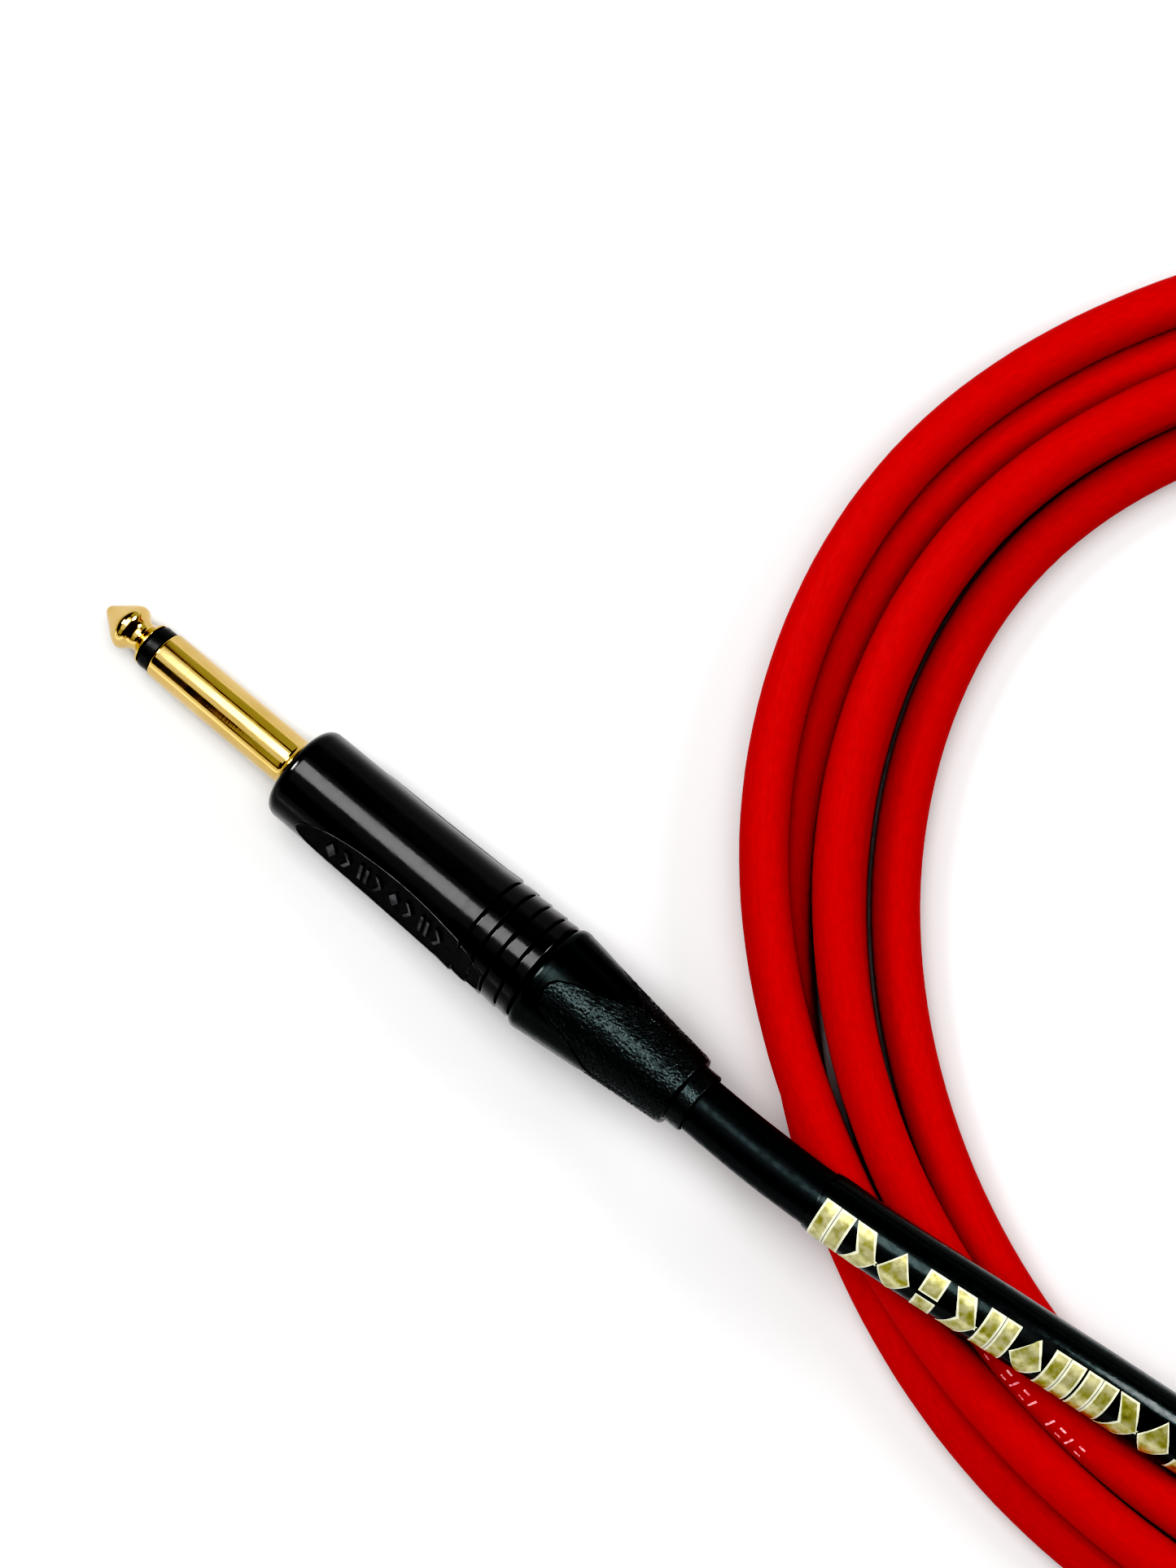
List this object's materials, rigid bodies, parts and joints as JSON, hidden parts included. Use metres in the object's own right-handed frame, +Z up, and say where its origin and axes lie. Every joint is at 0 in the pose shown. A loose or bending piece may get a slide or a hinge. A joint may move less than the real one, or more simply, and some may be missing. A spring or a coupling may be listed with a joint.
{
  "type": "instrument cable",
  "caption": "Coiled red instrument cable with a straight gold 6.35 mm phone plug at each end, black screw-on shells, soft boots and printed heat-shrink sleeves.",
  "frame": {"origin": "on the surface that the cable lies on, under the middle of the near plug (tip to boot, seen from above)", "axes": "+X from the near plug's tip towards its cable, seen from above; +Z up; +Y towards the middle of the coil"},
  "size_m": [0.2647, 0.1981, 0.0204],
  "materials": {
    "gold": "bright gold plating",
    "tinned_metal": "tinned",
    "copper": "bare copper",
    "black_shell": "satin black coating on a die-cast shell",
    "black_gloss": "smooth semi-gloss",
    "black_rubber": "grainy, matt",
    "insulator_ring": "moulded",
    "grey_plastic": "moulded",
    "clear_liner": "thin natural plastic",
    "white_core": "smooth extrusion",
    "black_shrink": "shrunk tube, soft sheen",
    "printed_film": "clear film over a gold geometric print",
    "red_jacket": "soft satin PVC"
  },
  "bodies": {
    "cable": {"coil": "red_jacket", "lead_a": "red_jacket", "lead_b": "red_jacket", "heat_shrink_a": "black_shrink", "heat_shrink_b": "black_shrink", "clear_sleeve_a": "printed_film", "clear_sleeve_b": "printed_film", "tip_contact_a": "gold", "tip_insulator_a": "insulator_ring", "sleeve_contact_a": "gold", "rear_insulator_a": "grey_plastic", "tip_lug_a": "tinned_metal", "ground_lug_a": "tinned_metal", "contact_carrier_a": "grey_plastic", "core_wire_a": "copper", "core_insulation_a": "white_core", "shield_pigtail_a": "copper", "insulating_liner_a": "clear_liner", "tip_contact_b": "gold", "tip_insulator_b": "insulator_ring", "sleeve_contact_b": "gold", "rear_insulator_b": "grey_plastic", "tip_lug_b": "tinned_metal", "ground_lug_b": "tinned_metal", "contact_carrier_b": "grey_plastic", "core_wire_b": "copper", "core_insulation_b": "white_core", "shield_pigtail_b": "copper", "insulating_liner_b": "clear_liner"},
    "shell_a": {"shell_a": "black_shell"},
    "chuck_a": {"chuck_a": "grey_plastic"},
    "boot_a": {"boot_crown_a": "black_gloss", "boot_grip_a": "black_rubber"},
    "shell_b": {"shell_b": "black_shell"},
    "chuck_b": {"chuck_b": "grey_plastic"},
    "boot_b": {"boot_crown_b": "black_gloss", "boot_grip_b": "black_rubber"}
  },
  "joints": [
    {"name": "shell_slide_a", "type": "slide", "parent": "cable", "child": "shell_a", "axis": [-0.9936, 0, -0.1132], "range_m": [0, 0.028]},
    {"name": "chuck_slide_a", "type": "slide", "parent": "cable", "child": "chuck_a", "axis": [0.9936, 0, 0.1132], "range_m": [0, 0.005]},
    {"name": "boot_turn_a", "type": "hinge", "parent": "chuck_a", "child": "boot_a", "pos_m": [-0.01613, 0, 0.00625], "axis": [0.9936, 0, 0.1132], "range_deg": [0, 1440]},
    {"name": "shell_slide_b", "type": "slide", "parent": "cable", "child": "shell_b", "axis": [-0.9997, 0, -0.023], "range_m": [0, 0.028]},
    {"name": "chuck_slide_b", "type": "slide", "parent": "cable", "child": "chuck_b", "axis": [0.9997, 0, 0.023], "range_m": [0, 0.005]},
    {"name": "boot_turn_b", "type": "hinge", "parent": "chuck_b", "child": "boot_b", "pos_m": [0.03537, 0.1755, 0.00634], "axis": [0.9997, 0, 0.023], "range_deg": [0, 1440]}
  ],
  "couplings": [
    {"joint": "boot_turn_a", "follows": "chuck_slide_a", "rad_per_m": 5026.5},
    {"joint": "boot_turn_b", "follows": "chuck_slide_b", "rad_per_m": 5026.5}
  ]
}
